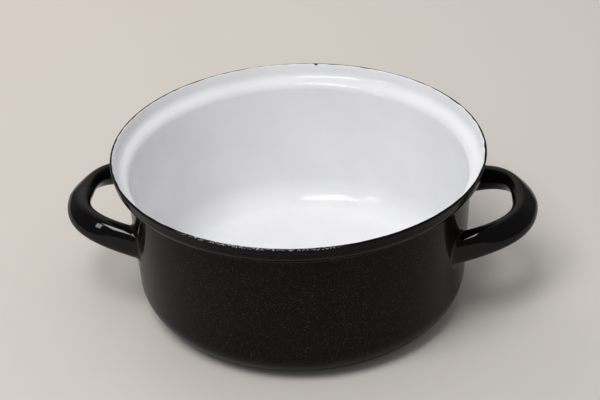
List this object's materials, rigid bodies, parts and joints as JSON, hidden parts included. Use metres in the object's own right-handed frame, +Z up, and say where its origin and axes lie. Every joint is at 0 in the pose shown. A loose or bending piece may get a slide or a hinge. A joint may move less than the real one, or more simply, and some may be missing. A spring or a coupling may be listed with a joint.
{
  "type": "enamelled cooking pot",
  "caption": "Low open cooking pot of enamelled steel, white inside and flecked black outside, with a stepped flared rim and welded loop handles.",
  "frame": {"origin": "centre of the base, on the plane the pot stands on", "axes": "+Z up along the pot's axis, +X towards the right-hand loop handle, +Y to the back"},
  "size_m": [0.2568, 0.2, 0.09],
  "materials": {
    "steel_sheet": "bare drawn steel, hidden under the enamel",
    "white_enamel": "opaque gloss white vitreous enamel",
    "flecked_enamel": "opaque semi-gloss black vitreous enamel with fine pale flecks",
    "black_enamel": "opaque high-gloss plain black vitreous enamel"
  },
  "bodies": {
    "root": {"vessel_shell": "steel_sheet", "white_lining": "white_enamel", "flecked_coat": "flecked_enamel", "base_coat": "black_enamel", "rim_edging": "black_enamel", "right_handle_tube": "steel_sheet", "right_handle_coat": "black_enamel", "right_rear_weld": "black_enamel", "right_front_weld": "black_enamel", "left_handle_tube": "steel_sheet", "left_handle_coat": "black_enamel", "left_front_weld": "black_enamel", "left_rear_weld": "black_enamel"}
  },
  "joints": []
}
